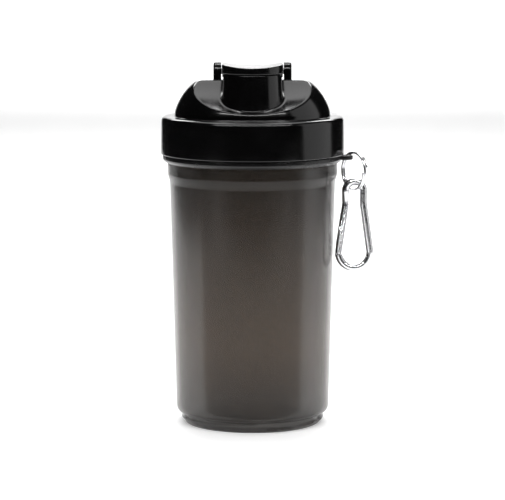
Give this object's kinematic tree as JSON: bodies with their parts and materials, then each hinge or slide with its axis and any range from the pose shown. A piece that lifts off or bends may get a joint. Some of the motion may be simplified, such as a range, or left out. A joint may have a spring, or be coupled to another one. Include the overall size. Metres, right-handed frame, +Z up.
{
  "type": "protein shaker bottle",
  "caption": "Tapered translucent shaker cup with a black screw lid, a hinged spout cap, an inner strainer and a carabiner on a neck collar.",
  "frame": {"origin": "on the bottle's axis, at the plane of its standing ring", "axes": "+Z up along the bottle's axis, -Y toward the spout, +X toward the collar's lug"},
  "size_m": [0.1133, 0.0976, 0.1934],
  "materials": {
    "smoke_plastic": "translucent satin, moulded",
    "black_plastic": "satin black",
    "ring_steel": "polished steel",
    "hook_metal": "bright nickel",
    "gate_metal": "bright nickel",
    "pin_steel": "steel",
    "spring_steel": "spring steel",
    "strainer_plastic": "matte black",
    "lid_plastic": "glossy black",
    "seal_rubber": "soft matte",
    "cap_plastic": "glossy black",
    "hinge_pin_plastic": "black"
  },
  "bodies": {
    "tumbler": {"tumbler": "smoke_plastic"},
    "collar": {"neck_collar": "black_plastic"},
    "ring": {"split_ring": "ring_steel"},
    "carabiner": {"carabiner_frame": "hook_metal", "gate_pivot_pin": "pin_steel"},
    "gate": {"carabiner_gate": "gate_metal", "gate_latch_pin": "pin_steel", "gate_spring": "spring_steel", "gate_plunger": "pin_steel"},
    "strainer": {"strainer": "strainer_plastic"},
    "lid": {"screw_lid": "lid_plastic", "lid_seal": "seal_rubber", "cap_hinge_pin": "hinge_pin_plastic"},
    "cap": {"spout_cap": "cap_plastic", "cap_plug": "seal_rubber"}
  },
  "joints": [
    {"name": "collar_swivel", "type": "hinge", "parent": "tumbler", "child": "collar", "pos_m": [0, 0, 0.1422], "axis": [0, 0, 1], "continuous": true},
    {"name": "ring_turn", "type": "hinge", "parent": "collar", "child": "ring", "pos_m": [0.0499, 0, 0.14235], "axis": [0, 0, 1], "range_deg": [0, 75]},
    {"name": "carabiner_swing", "type": "hinge", "parent": "ring", "child": "carabiner", "pos_m": [0.0544, -0.00602, 0.12585], "axis": [0.5592, -0.829, 0], "range_deg": [0, 35]},
    {"name": "gate_open", "type": "hinge", "parent": "carabiner", "child": "gate", "pos_m": [0.0459, -0.00602, 0.09327], "axis": [0, 1, 0], "range_deg": [0, 13], "stiffness_Nm_per_rad": 0.004, "springref_deg": -20.05},
    {"name": "lid_lift", "type": "slide", "parent": "tumbler", "child": "strainer", "axis": [0, 0, 1], "range_m": [0, 0.0241]},
    {"name": "lid_turn", "type": "hinge", "parent": "strainer", "child": "lid", "pos_m": [0, 0, 0.16], "axis": [0, 0, 1], "range_deg": [0, 720]},
    {"name": "cap_hinge", "type": "hinge", "parent": "lid", "child": "cap", "pos_m": [0, 0.003, 0.1881], "axis": [-1, 0, 0], "range_deg": [0, 140]}
  ],
  "couplings": [
    {"joint": "lid_lift", "follows": "lid_turn", "m_per_rad": 0.0019099}
  ]
}
